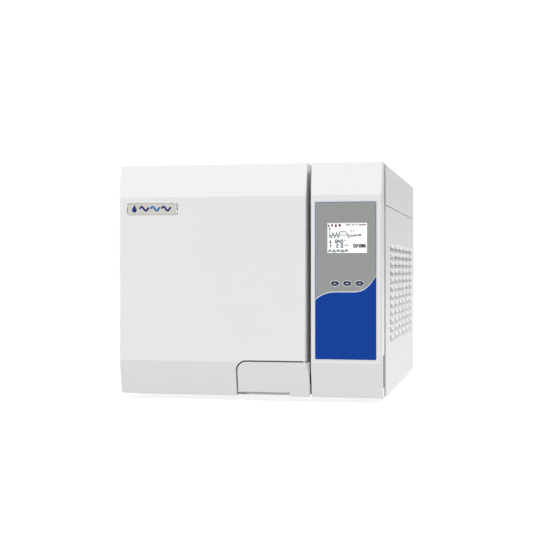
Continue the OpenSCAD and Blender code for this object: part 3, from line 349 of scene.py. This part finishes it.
# ---- Door ---------------------------------------------------------------------------------------
# A painted steel arm carries the pressure plate and turns on the case's hinge bracket. It is
# hidden between a white moulded cover and a grey inner cover.

def satin_black():
    """Satin black paint on steel: dark, with a soft sheen that varies over 3 mm."""
    made, tree, shader, place = start("satin_black_paint", "#26272a", 0.42)
    mottle = add(tree, "TexNoise", {"Scale": 1 / (3.3 * MM), "Detail": 3.0}, {"Vector": place})
    gloss = add(tree, "MapRange", {"To Min": 0.34, "To Max": 0.52}, {"Value": mottle.outputs["Fac"]})
    relief = add(tree, "Bump", {"Strength": 0.15, "Distance": 0.08 * MM},
                 {"Height": mottle.outputs["Fac"]})
    tree.links.new(gloss.outputs["Result"], shader.inputs["Roughness"])
    tree.links.new(relief.outputs["Normal"], shader.inputs["Normal"])
    return made


black_paint = satin_black()
softened("door_arm", black_paint, 0.5)
softened("hinge_bracket", black_paint, 0.5)
softened("latch_keeper", black_paint, 0.3)
softened("door_plate", brushed_metal("pressed_stainless", "#c9c8c5", 0), 0.8)


def silicone():
    """Cured silicone: milky and soft-looking, lit a little from within, with a haze 8 mm across."""
    made, tree, shader, place = start("silicone_rubber", "#e6e5e0", 0.5, Subsurface_Weight=0.15)
    shader.inputs["Subsurface Radius"].default_value = (4 * MM, 3 * MM, 2 * MM)
    haze = add(tree, "TexNoise", {"Scale": 1 / (8 * MM), "Detail": 3.0}, {"Vector": place})
    tone = add(tree, "MixRGB", {"Color1": srgb("#dcdad4"), "Color2": srgb("#efeee9")},
               {"Fac": haze.outputs["Fac"]})
    tree.links.new(tone.outputs["Color"], shader.inputs["Base Color"])
    return made


softened("door_gasket", silicone(), 1.5, steps=4)


def moulded_plastic(name, colour, rough=0.4):
    """Moulded plastic: a spark-eroded grain, drawn 1.3 mm wide as the true 0.2 mm one wouldn't show,
    and a satin gloss that wanders over 250 mm, so that a large face isn't one flat fill."""
    made, tree, shader, place = start(name, colour, rough, IOR=1.52)
    grain = add(tree, "TexNoise", {"Scale": 1 / (1.3 * MM), "Detail": 1.0}, {"Vector": place})
    cloud = add(tree, "TexNoise", {"Scale": 1 / (250 * MM), "Detail": 3.0}, {"Vector": place})
    base = srgb(colour)
    tone = add(tree, "MixRGB",
               {"Color1": tuple(c * 0.985 for c in base[:3]) + (1,),
                "Color2": tuple(min(1, c * 1.01) for c in base[:3]) + (1,)},
               {"Fac": cloud.outputs["Fac"]})
    gloss = add(tree, "MapRange", {"To Min": rough - 0.05, "To Max": rough + 0.07},
                {"Value": cloud.outputs["Fac"]})
    relief = add(tree, "Bump", {"Strength": 0.07, "Distance": 0.04 * MM},
                 {"Height": grain.outputs["Fac"]})
    tree.links.new(tone.outputs["Color"], shader.inputs["Base Color"])
    tree.links.new(gloss.outputs["Result"], shader.inputs["Roughness"])
    tree.links.new(relief.outputs["Normal"], shader.inputs["Normal"])
    return made


white_abs = moulded_plastic("white_abs", "#dcdbdc")
grey_abs = moulded_plastic("grey_abs", "#c4c4c3", 0.5)
softened("door_inner_cover", grey_abs, 0.5)
softened("door_cover", white_abs, 0.8, steps=3)
softened("handle", white_abs, 0.9, steps=3)


# ---- Badge ---------------------------------------------------------------------------------------
# A stamped plate with a polished rim, glued near the door's upper left corner. Its field is pale
# enamel with a plain steam mark: a drop and three waves.

def outline_slab(name, loops, y_front, y_back, finish, body, stands_for=(), soft=0.0):
    """A slab cut to closed outlines in X and Z, the first one outside and any others as holes."""
    form = bmesh.new()
    for loop in loops:
        ring = [form.verts.new((x, y_back, z)) for x, z in loop]
        for a, b in zip(ring, ring[1:] + ring[:1]):
            form.edges.new((a, b))
    bmesh.ops.triangle_fill(form, use_beauty=True, use_dissolve=False, edges=form.edges[:])
    bmesh.ops.dissolve_limit(form, angle_limit=0.01, verts=form.verts, edges=form.edges)
    grown = bmesh.ops.extrude_face_region(form, geom=form.faces[:])
    tops = [v for v in grown["geom"] if isinstance(v, bmesh.types.BMVert)]
    bmesh.ops.translate(form, verts=tops, vec=(0, y_front - y_back, 0))
    if soft:
        rims = [e for e in form.edges if all(abs(v.co.y - y_front) < 1e-7 for v in e.verts)
                and e.calc_face_angle(0) > 0.9]
        bmesh.ops.bevel(form, geom=rims, offset=soft, segments=3, profile=0.5, affect="EDGES",
                        clamp_overlap=False)
    return shown(name, form, finish, body, stands_for)


def round_rect(x0, z0, x1, z1, r, steps=8):
    """The outline of a rectangle with round corners."""
    points = []
    for cx, cz, first in ((x1 - r, z1 - r, 0), (x0 + r, z1 - r, 90), (x0 + r, z0 + r, 180),
                          (x1 - r, z0 + r, 270)):
        for i in range(steps + 1):
            a = math.radians(first + 90 * i / steps)
            points.append((cx + r * math.cos(a), cz + r * math.sin(a)))
    return points


def polished_chrome():
    """Polished chrome plate: a clear mirror, with a faint wave 7 mm long in it."""
    made, tree, shader, place = start("polished_chrome", "#a3a29d", 0.2, Metallic=1.0)
    wave = add(tree, "TexNoise", {"Scale": 1 / (7 * MM), "Detail": 1.0}, {"Vector": place})
    gloss = add(tree, "MapRange", {"To Min": 0.08, "To Max": 0.18}, {"Value": wave.outputs["Fac"]})
    tree.links.new(gloss.outputs["Result"], shader.inputs["Roughness"])
    return made


def printed_ink(name, colour, rough=0.35):
    """Screen-printed ink: dull colour that thins by a few per cent in patches 11 mm across, over a
    film texture drawn 0.7 mm wide, coarser than the true 0.1 mm one, which wouldn't show."""
    made, tree, shader, place = start(name, colour, rough, Specular_IOR_Level=0.12)
    thin = add(tree, "TexNoise", {"Scale": 1 / (11 * MM), "Detail": 4.0}, {"Vector": place})
    base = srgb(colour)
    tone = add(tree, "MixRGB",
               {"Color1": tuple(c * 0.95 for c in base[:3]) + (1,),
                "Color2": tuple(min(1, c * 1.05) for c in base[:3]) + (1,)},
               {"Fac": thin.outputs["Fac"]})
    weave = add(tree, "TexNoise", {"Scale": 1 / (0.7 * MM), "Detail": 1.0}, {"Vector": place})
    relief = add(tree, "Bump", {"Strength": 0.05, "Distance": 0.03 * MM},
                 {"Height": weave.outputs["Fac"]})
    tree.links.new(tone.outputs["Color"], shader.inputs["Base Color"])
    tree.links.new(relief.outputs["Normal"], shader.inputs["Normal"])
    return made


badge_low, badge_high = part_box("door_badge")
RIM = 1.3 * MM
plate = round_rect(badge_low.x, badge_low.z, badge_high.x, badge_high.z, 4 * MM)
field = round_rect(badge_low.x + RIM, badge_low.z + RIM, badge_high.x - RIM, badge_high.z - RIM, 2.8 * MM)
outline_slab("badge_rim", [plate, field], badge_low.y, badge_high.y, polished_chrome(), "door",
             ("door_badge",), soft=0.5 * MM)
outline_slab("badge_field", [field], badge_low.y + 0.6 * MM, badge_high.y,
             printed_ink("badge_enamel", "#c9c7c0", 0.25), "door")
badge_ink = printed_ink("badge_blue_ink", "#1d2f73", 0.3)
badge_mid = (badge_low.z + badge_high.z) / 2


def drop(cx, cz, r):
    """The outline of a drop with its point up."""
    arc = [(cx + r * math.cos(math.radians(a)), cz + r * math.sin(math.radians(a)))
           for a in range(150, 391, 12)]
    return arc + [(cx, cz + 2.2 * r)]


def stroke(points, width):
    """The outline of a line of the given width through some points."""
    left, right = [], []
    for i, (x, z) in enumerate(points):
        before, after = points[max(0, i - 1)], points[min(len(points) - 1, i + 1)]
        along = Vector((after[0] - before[0], after[1] - before[1])).normalized() * (width / 2)
        left.append((x - along.y, z + along.x))
        right.append((x + along.y, z - along.x))
    return left + right[::-1]


badge_blue = printed_ink("badge_light_blue_ink", "#1f6fae", 0.3)
badge_marks = [(drop(badge_low.x + 14 * MM, badge_mid - 2.2 * MM, 4.4 * MM), badge_ink)]
for i in range(3):
    wave_x = badge_low.x + (24 + 20.5 * i) * MM
    crest = [(wave_x + t * 0.95 * MM, badge_mid + 3.6 * MM * math.sin(t * 0.39)) for t in range(19)]
    badge_marks.append((stroke(crest, 3.4 * MM), badge_blue if i == 1 else badge_ink))
for i, (mark, ink) in enumerate(badge_marks):
    outline_slab(f"badge_mark_{i + 1}", [mark], badge_low.y + 0.35 * MM, badge_low.y + 0.62 * MM,
                 ink, "door")


# ---- Fascia --------------------------------------------------------------------------------------
# The control column is moulded in the same white ABS as the door and stands on a narrower neck. A
# dark strip of black rubber round the neck is painted shade: it stands for the shadow in the groove
# between the neck and the case, which shows as a thin dark line beside it.

softened("control_fascia", white_abs, 0.8, steps=3)
fascia_low, fascia_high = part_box("control_fascia")
case_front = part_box("top_cover")[0].y
NECK, SHADE_STRIP = 6 * MM, 2.2 * MM
strip = [round_rect(fascia_low.x + NECK - grow, fascia_low.z + NECK - grow, fascia_high.x - NECK + grow,
                    fascia_high.z - NECK + grow, 1 * MM + grow, 4) for grow in (SHADE_STRIP, 0.02 * MM)]
# A dark rubber strip set in the groove as painted shade: the shadow between the fascia's neck and the
# case.
outline_slab("fascia_groove_shade", strip, case_front - 7.4 * MM, case_front - 0.3 * MM, rubber, "case")


# ---- Membrane panel ------------------------------------------------------------------------------
# A polyester film printed from behind, grey above and blue below a wave-shaped edge, with a clear
# display window and holes for three keys. Each ink lies a hair in front of the one under it.

film_low, film_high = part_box("control_overlay")
glass_low, glass_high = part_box("lcd_module")
LCD_W, LCD_H = 70.2 * MM, 52.7 * MM
window_x = (glass_low.x + glass_high.x) / 2
window_z = (glass_low.z + glass_high.z) / 2
key_boxes = [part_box(name) for name in ("key_left", "key_middle", "key_right")]
KEY_W, KEY_H = 13.7 * MM, 8.1 * MM


def oval(cx, cz, rx, rz, steps=48):
    """The outline of an ellipse."""
    turns = [2 * math.pi * i / steps for i in range(steps)]
    return [(cx + rx * math.cos(a), cz + rz * math.sin(a)) for a in turns]


def key_hole(box, grow):
    """The outline of the hole round one key."""
    return oval((box[0].x + box[1].x) / 2, (box[0].z + box[1].z) / 2, KEY_W / 2 + grow, KEY_H / 2 + grow)


def wave_edge(x0, x1, rise=0.0):
    """The edge between the grey and the blue: a shoulder, a level run and a sweep up to the right."""
    level = film_low.z + 118.7 * MM + rise
    points = []
    for i in range(41):
        u = i / 40
        dip = 14 * max(0, 1 - u / 0.36) ** 2.5
        sweep = 30 * max(0, (u - 0.6) / 0.4) ** 2.7
        points.append((x0 + (x1 - x0) * u, level + (sweep - dip) * MM))
    return points


window = round_rect(window_x - LCD_W / 2, window_z - LCD_H / 2, window_x + LCD_W / 2,
                    window_z + LCD_H / 2, 0.6 * MM, 3)
holes = [key_hole(box, 0.4 * MM) for box in key_boxes]
print_y = film_low.y
LAYER = 0.04 * MM


def film_layer(name, loops, level, colour, rough=0.35):
    """One printed layer, lying a hair in front of the layer under it."""
    return outline_slab(name, loops, print_y - level * LAYER, print_y - (level - 1) * LAYER,
                        printed_ink(name + "_ink", colour, rough), "case")


# The bare white film shows only as a rim 0.7 mm wide outside the blue border: a painted highlight along
# the film's edge.
outline_slab("overlay_film", [round_rect(film_low.x, film_low.z, film_high.x, film_high.z, 3 * MM),
                              window, *holes],
             print_y, film_high.y, printed_ink("overlay_edge_highlight_ink", "#f1f2f5", 0.3), "case",
             ("control_overlay",))
EDGE = 0.7 * MM
LINE = 1.2 * MM
film_x0, film_x1 = film_low.x + EDGE, film_high.x - EDGE
film_z0, film_z1 = film_low.z + EDGE, film_high.z - EDGE
film_layer("overlay_border", [round_rect(film_x0, film_z0, film_x1, film_z1, 2.2 * MM), window, *holes],
           1, "#4a6796")
film_layer("overlay_grey", [round_rect(film_x0 + LINE, film_z0 + LINE, film_x1 - LINE, film_z1 - LINE,
                                       1.6 * MM), window, *holes], 2, "#939592")
blue_x0, blue_x1 = film_x0 + 0.2 * MM, film_x1 - 0.2 * MM
foot = round_rect(blue_x0, film_z0 + 0.2 * MM, blue_x1, film_z1, 2.0 * MM)
foot = [p for p in foot if p[1] < film_z0 + 10 * MM]
film_layer("overlay_light_line", [foot + wave_edge(blue_x0, blue_x1, 1.6 * MM)[::-1]], 3, "#d5dae2")
film_layer("overlay_blue", [foot + wave_edge(blue_x0, blue_x1)[::-1]], 4, "#003a90", 0.6)
for i, box in enumerate(key_boxes):
    film_layer(f"key_ring_{i + 1}", [key_hole(box, 1.7 * MM), key_hole(box, 0.4 * MM)], 3, "#c3cbd8")


# ---- Display -------------------------------------------------------------------------------------
# A white lit panel behind the film's window. Raised segments draw the run's pressure curve, two
# readings, a clock and rows of small symbols.

def lit_panel():
    """A back-lit white display behind glass: bright, with a crisp reflection on top and patches of
    back light 45 mm across."""
    made, tree, shader, place = start("lit_display", "#f2f5f7", 0.15, Coat_Weight=1.0)
    shader.inputs["Coat Roughness"].default_value = 0.05
    shader.inputs["Emission Color"].default_value = srgb("#f4f8fb")
    shader.inputs["Emission Strength"].default_value = 0.12
    bleed = add(tree, "TexNoise", {"Scale": 1 / (45 * MM), "Detail": 1.0}, {"Vector": place})
    tone = add(tree, "MixRGB", {"Color1": srgb("#eaeff2"), "Color2": srgb("#fbfcfd")},
               {"Fac": bleed.outputs["Fac"]})
    tree.links.new(tone.outputs["Color"], shader.inputs["Base Color"])
    return made


softened("lcd_module", lit_panel(), 0.3)
screen_y = glass_low.y
lcd_x, lcd_z = window_x - LCD_W / 2, window_z - LCD_H / 2


def lcd_mark(name, shapes, finish):
    """Drawn shapes on the display as one piece; points are in millimetres from its lower left."""
    form = bmesh.new()
    for shape in shapes:
        ring = [form.verts.new((lcd_x + x * MM, screen_y - 0.02 * MM, lcd_z + z * MM))
                for x, z in shape]
        face = form.faces.new(ring)
        rise = bmesh.ops.extrude_face_region(form, geom=[face])
        tops = [v for v in rise["geom"] if isinstance(v, bmesh.types.BMVert)]
        bmesh.ops.translate(form, verts=tops, vec=(0, -0.05 * MM, 0))
    bmesh.ops.triangulate(form, faces=[f for f in form.faces if len(f.verts) > 4])
    return shown(name, form, finish, "case")


def digit(x, z, h, value, weight):
    """One seven-segment digit as bars, with its lower left corner at x, z."""
    w = h * 0.52
    bars = {"a": ((x, z + h), (x + w, z + h)), "b": ((x + w, z + h), (x + w, z + h / 2)),
            "c": ((x + w, z + h / 2), (x + w, z)), "d": ((x, z), (x + w, z)),
            "e": ((x, z), (x, z + h / 2)), "f": ((x, z + h / 2), (x, z + h)),
            "g": ((x, z + h / 2), (x + w, z + h / 2))}
    lit = ["abcdef", "bc", "abdeg", "abcdg", "bcfg", "acdfg", "acdefg", "abc", "abcdefg", "abcdfg"]
    return [stroke(bars[b], weight) for b in lit[value]]


def dot(x, z, r, sides=12):
    """A round dot."""
    return oval(x, z, r, r, sides)


def joined(points, width):
    """Straight runs between points, each its own bar, so that sharp turns stay clean."""
    return [stroke((a, b), width) for a, b in zip(points, points[1:])]


curve = [(5, 31), (7.4, 26), (10, 35.5), (13, 26.3), (16.4, 35.5), (19.6, 26.3), (22.3, 37),
         (33.5, 37), (36.6, 30), (38, 26.4), (40, 29.4), (46, 29.2), (50, 30.2), (57, 31.4)]
trace = joined(curve, 1.15)
trace += joined([(4.2, 26), (4.2, 42)], 0.9) + joined([(4.2, 31.2), (57.5, 31.2)], 0.9)
trace += [dot(4.2, 42.4, 1.5), dot(57.8, 31.3, 1.8)]
trace += joined([(40.5, 38.2), (42.5, 39.2), (44, 38)], 1.1) + joined([(45.5, 39), (48, 38.4)], 1.1)
for x, value in ((11.6, 1), (15.2, 3), (19.6, 4), (24.6, 0)):
    trace += digit(x, 17.2, 5.6, value, 1.3)
trace += [dot(22.8, 17.4, 0.7), dot(31, 22, 1.0)]
trace += joined([(5.4, 18.4), (5.4, 22.6)], 1.5) + [dot(5.4, 18, 1.6)]
for x, value in ((16.4, 2), (24.6, 0)):
    trace += digit(x, 9.6, 5.6, value, 1.35)
trace += [dot(21.8, 9.9, 0.7)] + joined([(31, 12.6), (32.6, 14.4), (34.4, 12.8), (36.8, 14)], 1.1)
trace += joined([(5.4, 10), (5.4, 14.6), (7.4, 13.4), (5.6, 12.2)], 1.1)
for x, value in ((46.6, 0), (50.8, 2), (56.6, 0), (60.8, 8), (65.0, 6)):
    trace += digit(x, 9.8, 5.0, value, 1.5)
trace += [dot(54.9, 11.2, 0.8), dot(54.9, 13.6, 0.8)]
for x in (4.6, 19.4, 33.6):
    trace += joined([(x - 2.8, 1.6), (x - 0.8, 5.8), (x + 1.0, 2.2), (x + 2.8, 5.8)], 1.5)
for x in (12, 26.6):
    trace += joined([(x - 3, 1.8), (x, 6), (x + 3, 1.8), (x - 3, 1.8)], 1.3)
trace += [drop(2.6, 47.2, 1.5)]
lcd_mark("display_trace", trace, printed_ink("liquid_crystal_black", "#17191c", 0.4))
symbols = [oval(8.4, 48.6, 1.5, 2.6, 20), drop(15.2, 47.4, 2.0), dot(22.2, 48.4, 2.3, 16)]
for x0, x1 in ((33, 40.2), (43, 47.6), (49.6, 53), (55.4, 68.6)):
    symbols += joined([(x0, 49), (x1, 49)], 1.7)
lcd_mark("display_red_marks", symbols, printed_ink("liquid_crystal_red", "#741a3c", 0.4))


# ---- Keys ----------------------------------------------------------------------------------------
# Domed caps of dark blue plastic that stand a little proud of the film, each with a printed white
# sign: back, hold and forward.

def key_plastic():
    """Glossy moulded plastic: almost black blue, with a small clear highlight on its dome and flow
    marks 4 mm across."""
    made, tree, shader, place = start("key_plastic", "#0a1233", 0.22, IOR=1.52)
    swirl = add(tree, "TexNoise", {"Scale": 1 / (4 * MM), "Detail": 2.0}, {"Vector": place})
    gloss = add(tree, "MapRange", {"To Min": 0.16, "To Max": 0.3}, {"Value": swirl.outputs["Fac"]})
    tree.links.new(gloss.outputs["Result"], shader.inputs["Roughness"])
    return made


key_finish = key_plastic()
sign_ink = printed_ink("key_sign_ink", "#d8dce0", 0.4)
arrow = [(-2.6, 0), (-0.4, 1.1), (-0.4, 0.45), (2.4, 0.45), (2.4, -0.45), (-0.4, -0.45), (-0.4, -1.1)]
dash = [(-2.4, -0.6), (2.4, -0.6), (2.4, 0.6), (-2.4, 0.6)]
key_signs = [arrow, dash, [(-x, -z) for x, z in arrow]]
for node, box, sign in zip(("key_left", "key_middle", "key_right"), key_boxes, key_signs):
    middle_x, middle_z = (box[0].x + box[1].x) / 2, (box[0].z + box[1].z) / 2
    cap = bmesh.new()
    rings = []
    for depth, shrink in ((3.4, 0), (0.75, 0), (0.45, 0.12), (0.2, 0.5), (0.05, 1.3), (0, 2.6)):
        outline = oval(middle_x, middle_z, KEY_W / 2 - shrink * MM, KEY_H / 2 - shrink * MM * 0.9)
        rings.append([cap.verts.new((x, box[0].y + depth * MM, z)) for x, z in outline])
    for low, high in zip(rings, rings[1:]):
        for i in range(len(low)):
            j = (i + 1) % len(low)
            cap.faces.new((low[i], low[j], high[j], high[i]))
    cap.faces.new(rings[-1])
    cap.faces.new(rings[0][::-1])
    shown(node + "_cap", cap, key_finish, node, (node,))
    loop = [(middle_x + x * MM, middle_z + z * MM) for x, z in sign]
    outline_slab(node + "_sign", [loop], box[0].y - 0.03 * MM, box[0].y + 0.02 * MM, sign_ink, node)


# ---- Boards --------------------------------------------------------------------------------------
# The control board behind the fascia and the power board on the right-hand side of the case.

def solder_mask():
    """Green solder mask on glass-epoxy: glossy, with the weave of the cloth just showing. The weave
    is drawn 3.3 mm wide, coarser than the true 0.5 mm one."""
    made, tree, shader, place = start("solder_mask", "#1d5a3c", 0.3)
    weave = add(tree, "TexWave", {"Scale": 1 / (3.3 * MM), "Distortion": 1.0}, {"Vector": place})
    tone = add(tree, "MixRGB", {"Color1": srgb("#184e34"), "Color2": srgb("#246a47")},
               {"Fac": weave.outputs["Fac"]})
    tree.links.new(tone.outputs["Color"], shader.inputs["Base Color"])
    return made


board_green = solder_mask()
dressed("control_board", board_green)
dressed("power_board", board_green)


# ---- Water tank ---------------------------------------------------------------------------------
# A blow-moulded tank under the top cover, with a grey filler frame and a hinged lid flush with it.

softened("water_tank", moulded_plastic("natural_polyethylene", "#dfe4e4", 0.5), 1.0)
softened("filler_frame", grey_abs, 0.4)
softened("tank_lid", grey_abs, 0.4)


# ---- Machinery ----------------------------------------------------------------------------------
# Cast pumps, the steam generator and the condenser, with brass valves and copper pipes.

def cast_metal():
    """Die-cast aluminium: grey, with a dull metallic shine and shallow pits 2.4 mm across."""
    made, tree, shader, place = start("die_cast_aluminium", "#9b9fa3", 0.5, Metallic=0.9)
    pit = add(tree, "TexNoise", {"Scale": 1 / (2.4 * MM), "Detail": 4.0}, {"Vector": place})
    gloss = add(tree, "MapRange", {"To Min": 0.4, "To Max": 0.65}, {"Value": pit.outputs["Fac"]})
    relief = add(tree, "Bump", {"Strength": 0.3, "Distance": 0.2 * MM}, {"Height": pit.outputs["Fac"]})
    tree.links.new(gloss.outputs["Result"], shader.inputs["Roughness"])
    tree.links.new(relief.outputs["Normal"], shader.inputs["Normal"])
    return made


cast = cast_metal()
for node in ("vacuum_pump", "water_pump", "steam_generator", "condenser"):
    dressed(node, cast)
brass = bright_metal("machined_brass", "#c9a45a", 0.28)
dressed("solenoid_valves", brass)
softened("safety_valve", brass, 0.4)
softened("drain_couplings", brass, 0.4)
dressed("pipework", bright_metal("drawn_copper", "#c07a52", 0.3))


# ---- Rear fittings ------------------------------------------------------------------------------
# Fan in its square frame, mains inlet, rocker switch, fuse holders and the white air filter.

def moulded_black():
    """Glass-filled black plastic: matt, with a bite in its surface drawn 1.4 mm wide, coarser than
    the true 0.3 mm one, which wouldn't show."""
    made, tree, shader, place = start("moulded_black", "#1d1d1f", 0.5)
    bite = add(tree, "TexNoise", {"Scale": 1 / (1.4 * MM), "Detail": 2.0}, {"Vector": place})
    gloss = add(tree, "MapRange", {"To Min": 0.42, "To Max": 0.6}, {"Value": bite.outputs["Fac"]})
    relief = add(tree, "Bump", {"Strength": 0.12, "Distance": 0.06 * MM},
                 {"Height": bite.outputs["Fac"]})
    tree.links.new(gloss.outputs["Result"], shader.inputs["Roughness"])
    tree.links.new(relief.outputs["Normal"], shader.inputs["Normal"])
    return made


black_plastic = moulded_black()
for node in ("fan_frame", "fan_rotor", "power_inlet", "switch_body", "fuse_holders"):
    softened(node, black_plastic, 0.3)
softened("switch_rocker", moulded_plastic("red_rocker", "#a31e1c", 0.3), 0.4)
softened("air_filter", moulded_plastic("filter_white", "#e6e6e2", 0.45), 0.8)
